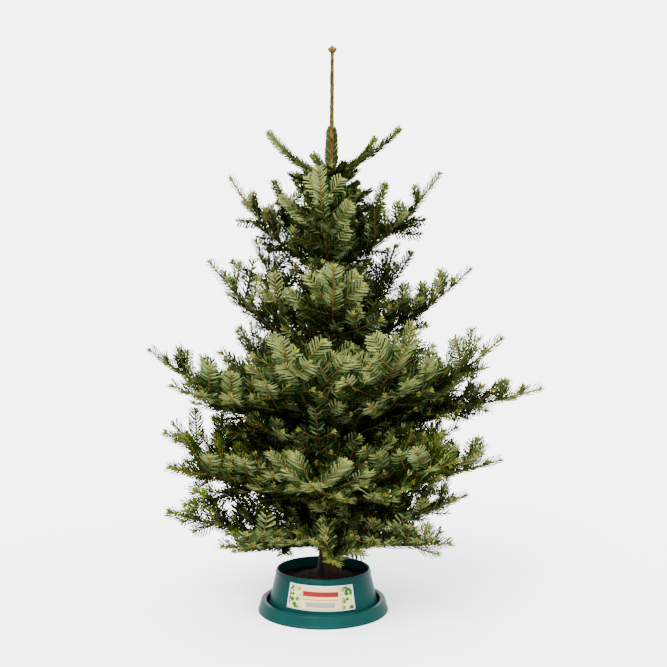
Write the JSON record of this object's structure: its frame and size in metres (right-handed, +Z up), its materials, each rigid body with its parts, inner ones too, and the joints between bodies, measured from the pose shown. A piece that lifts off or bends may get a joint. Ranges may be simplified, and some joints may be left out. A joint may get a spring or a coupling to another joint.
{
  "type": "cut christmas tree in a stand",
  "caption": "Cut Nordmann fir with whorls of upswept needled boughs and a bare leader, standing in a round green plastic stand filled with soil.",
  "frame": {"origin": "centre of the stand's flat underside, on the floor", "axes": "+Z up along the trunk, -Y towards the front of the stand where its label is, +X to the right seen from the front"},
  "size_m": [0.9757, 0.7896, 1.4],
  "materials": {
    "bark": "matte",
    "branch_bark": "matte",
    "needles": "matte",
    "stand_plastic": "satin",
    "soil": "matte"
  },
  "bodies": {
    "root": {"trunk": "bark", "stand_tray": "stand_plastic", "stand_cone": "stand_plastic", "stand_fill": "soil", "bough_second_1": "branch_bark", "bough_second_2": "branch_bark", "bough_second_3": "branch_bark", "bough_second_4": "branch_bark", "bough_second_5": "branch_bark", "bough_third_1": "branch_bark", "bough_third_2": "branch_bark", "bough_third_3": "branch_bark", "bough_third_4": "branch_bark", "bough_third_5": "branch_bark", "bough_fourth_1": "branch_bark", "bough_fourth_2": "branch_bark", "bough_fourth_3": "branch_bark", "bough_fourth_4": "branch_bark", "bough_fourth_5": "branch_bark", "bough_fourth_6": "branch_bark", "bough_fourth_7": "branch_bark", "bough_fourth_8": "branch_bark", "foliage_leader": "needles", "foliage_top_1": "needles", "foliage_top_2": "needles", "foliage_top_3": "needles", "foliage_top_4": "needles", "foliage_second_1": "needles", "foliage_second_2": "needles", "foliage_second_3": "needles", "foliage_second_4": "needles", "foliage_second_5": "needles", "foliage_third_1": "needles", "foliage_third_2": "needles", "foliage_third_3": "needles", "foliage_third_4": "needles", "foliage_third_5": "needles", "foliage_fourth_1": "needles", "foliage_fourth_2": "needles", "foliage_fourth_3": "needles", "foliage_fourth_4": "needles", "foliage_fourth_5": "needles", "foliage_fourth_6": "needles", "foliage_fourth_7": "needles", "foliage_fourth_8": "needles", "foliage_fifth_1": "needles", "foliage_fifth_2": "needles", "foliage_fifth_3": "needles", "foliage_fifth_4": "needles", "foliage_fifth_5": "needles", "foliage_fifth_6": "needles", "foliage_fifth_7": "needles", "foliage_fifth_8": "needles", "foliage_lowest_1": "needles", "foliage_lowest_2": "needles", "foliage_lowest_3": "needles", "foliage_lowest_4": "needles", "foliage_lowest_5": "needles", "foliage_lowest_6": "needles", "foliage_lowest_7": "needles"}
  },
  "joints": []
}
